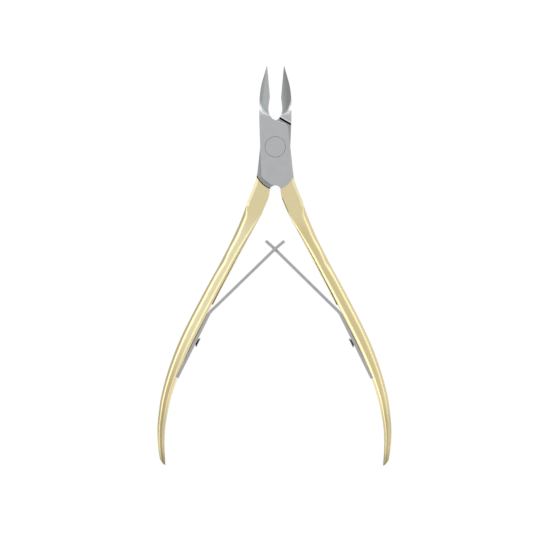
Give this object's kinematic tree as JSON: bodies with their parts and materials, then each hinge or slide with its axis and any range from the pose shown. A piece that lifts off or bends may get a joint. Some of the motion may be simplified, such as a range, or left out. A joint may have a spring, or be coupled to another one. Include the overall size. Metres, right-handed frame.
{
  "type": "cuticle nipper",
  "caption": "Hand nipper with short side-ground cutting jaws, a flat lap joint, long bowed handles and crossed leaf springs that hold it open.",
  "frame": {"origin": "on the pivot axis, in the flat back face of the joint", "axes": "+Y from the pivot towards the jaws' tips, +Z along the pivot from the back face to the front face, +X to the right seen from the front"},
  "size_m": [0.0704, 0.1198, 0.006],
  "materials": {
    "plated_lever": "satin stainless steel, its handle plated pale gold",
    "joint_steel": "satin, ground flush with the joint",
    "spring_steel": "rolled and tumbled",
    "screw_steel": "turned, a little darkened"
  },
  "bodies": {
    "back_half": {"back_lever": "plated_lever", "pivot_screw": "joint_steel", "left_spring_foot": "spring_steel", "left_spring_screw": "screw_steel"},
    "front_half": {"front_lever": "plated_lever", "right_spring_foot": "spring_steel", "right_spring_screw": "screw_steel"},
    "left_leaf": {"left_spring_arm": "spring_steel"},
    "right_leaf": {"right_spring_arm": "spring_steel"}
  },
  "joints": [
    {"name": "pivot", "type": "hinge", "parent": "back_half", "child": "front_half", "pos_m": [0, 0, 0.003], "axis": [0, 0, -1], "range_deg": [0, 11.6], "stiffness_Nm_per_rad": 2},
    {"name": "left_spring_flex", "type": "hinge", "parent": "back_half", "child": "left_leaf", "pos_m": [-0.01954, -0.0497, 0.003], "axis": [0, 0, 1], "range_deg": [0, 8.2]},
    {"name": "right_spring_flex", "type": "hinge", "parent": "front_half", "child": "right_leaf", "pos_m": [0.01954, -0.0497, 0.003], "axis": [0, 0, -1], "range_deg": [0, 8.2]}
  ],
  "couplings": [
    {"joint": "left_spring_flex", "follows": "pivot", "ratio": 0.7},
    {"joint": "right_spring_flex", "follows": "pivot", "ratio": 0.7}
  ]
}
